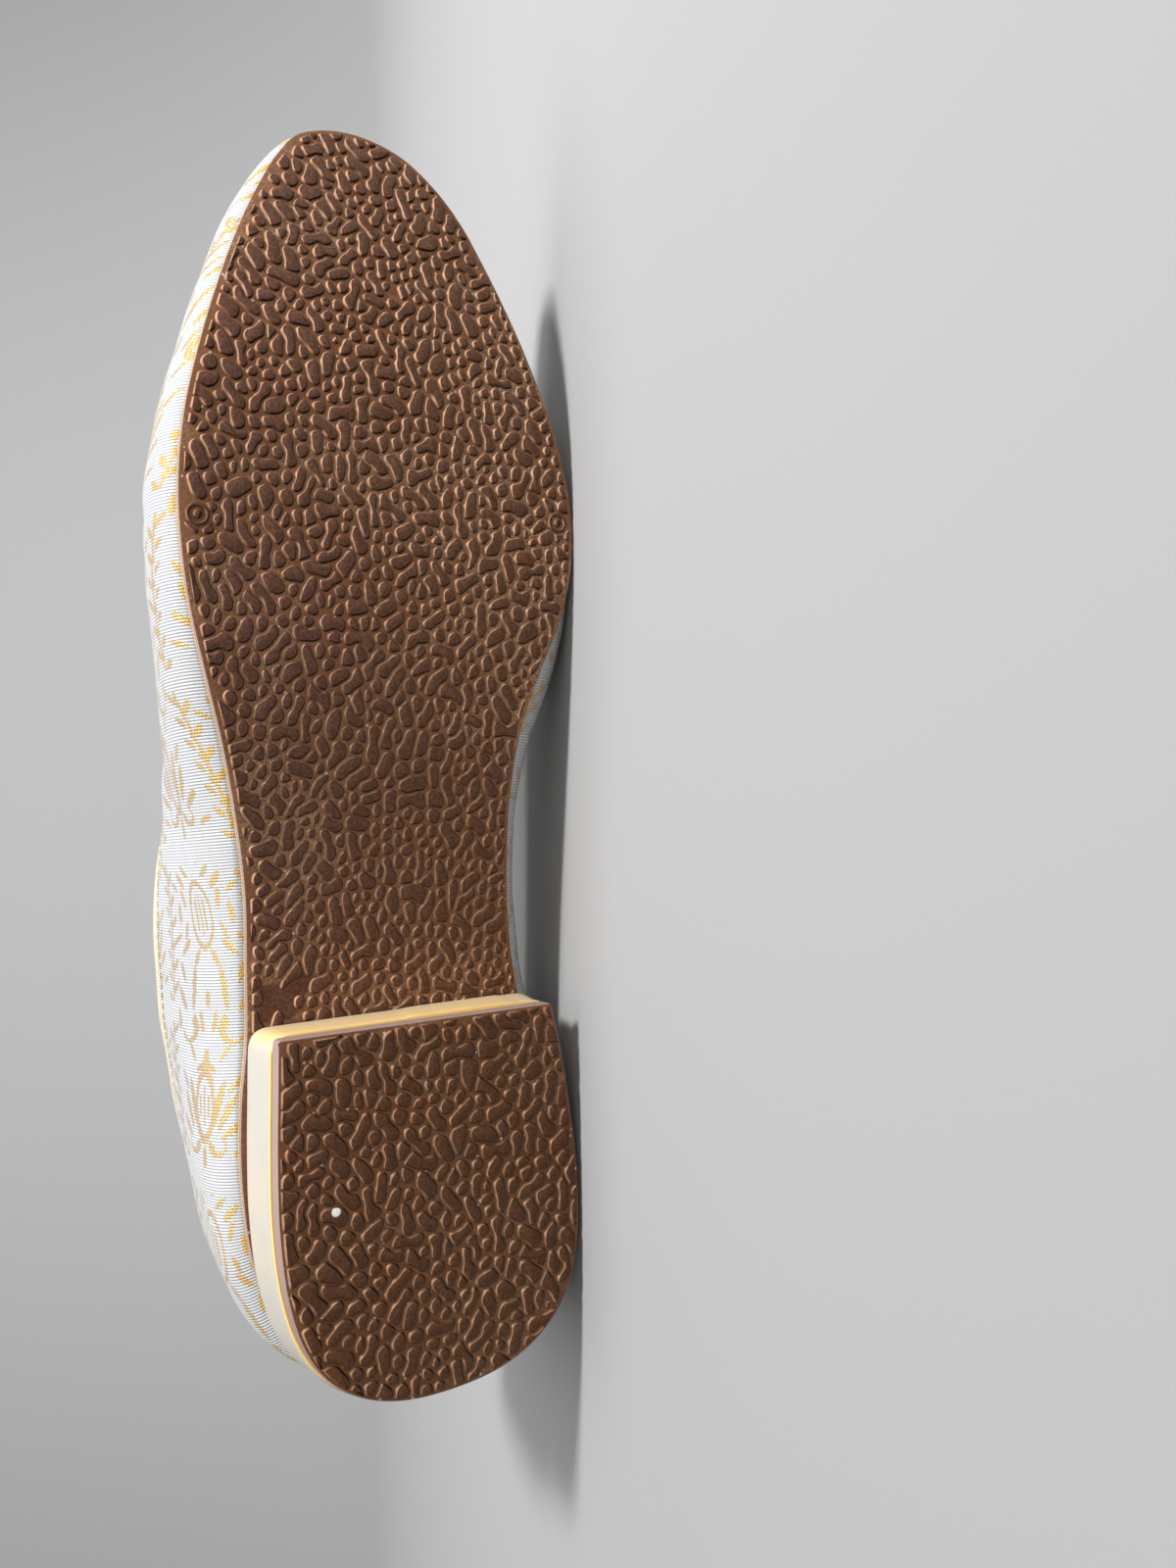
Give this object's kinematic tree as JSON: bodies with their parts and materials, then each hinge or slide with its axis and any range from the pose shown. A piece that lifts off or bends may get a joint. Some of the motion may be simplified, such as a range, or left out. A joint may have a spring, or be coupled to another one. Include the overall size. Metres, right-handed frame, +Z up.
{
  "type": "slip-on shoe",
  "caption": "Right slip-on dress shoe: a brocade upper with an open collar on a flat rubber sole with a low covered heel, lying on its inner side.",
  "frame": {"origin": "on the ground, under the middle of the shoe's bounding box as it lies on its medial side", "axes": "+X runs from the heel to the toe, +Z is up, with the lateral side of the shoe uppermost, and the tread faces -Y, tipped 13.7 degrees towards the ground"},
  "size_m": [0.306, 0.0998, 0.1031],
  "materials": {
    "brocade": "satin",
    "collar_piping": "satin",
    "sock_lining": "matte",
    "sole_rubber": "matte",
    "heel_cover": "satin",
    "lift_rubber": "matte"
  },
  "bodies": {
    "root": {"upper": "brocade", "collar_binding": "collar_piping", "insole": "sock_lining", "outsole": "sole_rubber", "heel_block": "heel_cover", "top_lift": "lift_rubber"}
  },
  "joints": []
}
